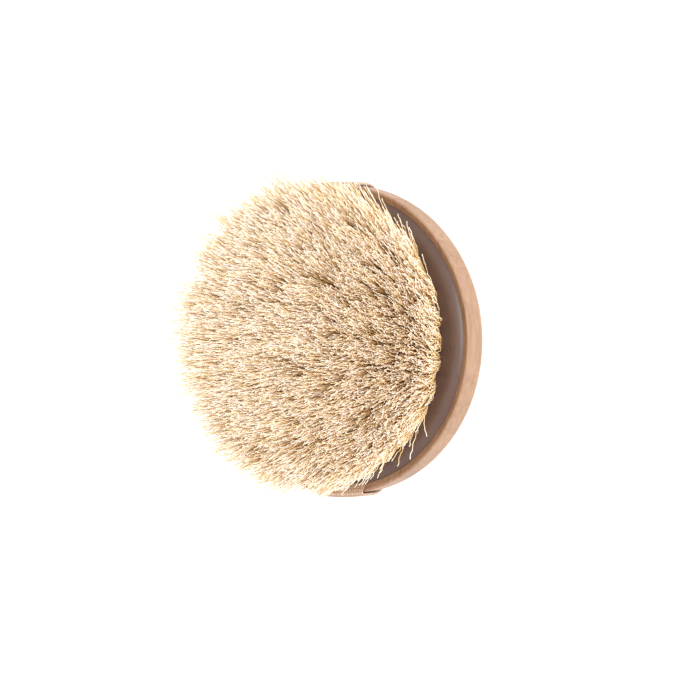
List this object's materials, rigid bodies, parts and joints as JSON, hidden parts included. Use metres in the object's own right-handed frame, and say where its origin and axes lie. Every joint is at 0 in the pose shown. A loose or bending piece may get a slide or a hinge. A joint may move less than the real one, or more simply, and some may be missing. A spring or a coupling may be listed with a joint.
{
  "type": "body dry brush",
  "caption": "Round palm brush for dry body brushing: turned bamboo shell, inset plate with flared plant-fibre tufts, and a woven hand strap across the back.",
  "frame": {"origin": "middle of the strap's flat resting face, on the brush's axis", "axes": "+Z along the bristles, away from the hand; the strap and the wood's grain run along Y"},
  "size_m": [0.1126, 0.1126, 0.0623],
  "materials": {
    "bamboo": "satin clear-coated laminated bamboo, grain along the strap",
    "plate_plastic": "moulded taupe-brown plastic with a soft sheen",
    "bristle_fibre": "crinkled cream plant fibre",
    "strap_webbing": "plain-woven natural tan webbing",
    "anchor_wire": "flat galvanised wire",
    "staple_wire": "galvanised staple wire",
    "adhesive": "set construction adhesive"
  },
  "bodies": {
    "root": {"body_shell": "bamboo", "bristle_plate": "plate_plastic", "plate_adhesive": "adhesive", "hand_strap": "strap_webbing", "strap_staples": "staple_wire", "tuft_anchors": "anchor_wire", "tuft_centre": "bristle_fibre", "tuft_ring_1": "bristle_fibre", "tuft_ring_2": "bristle_fibre", "tuft_ring_3": "bristle_fibre", "tuft_ring_4": "bristle_fibre", "tuft_ring_5": "bristle_fibre", "tuft_ring_6": "bristle_fibre"}
  },
  "joints": []
}
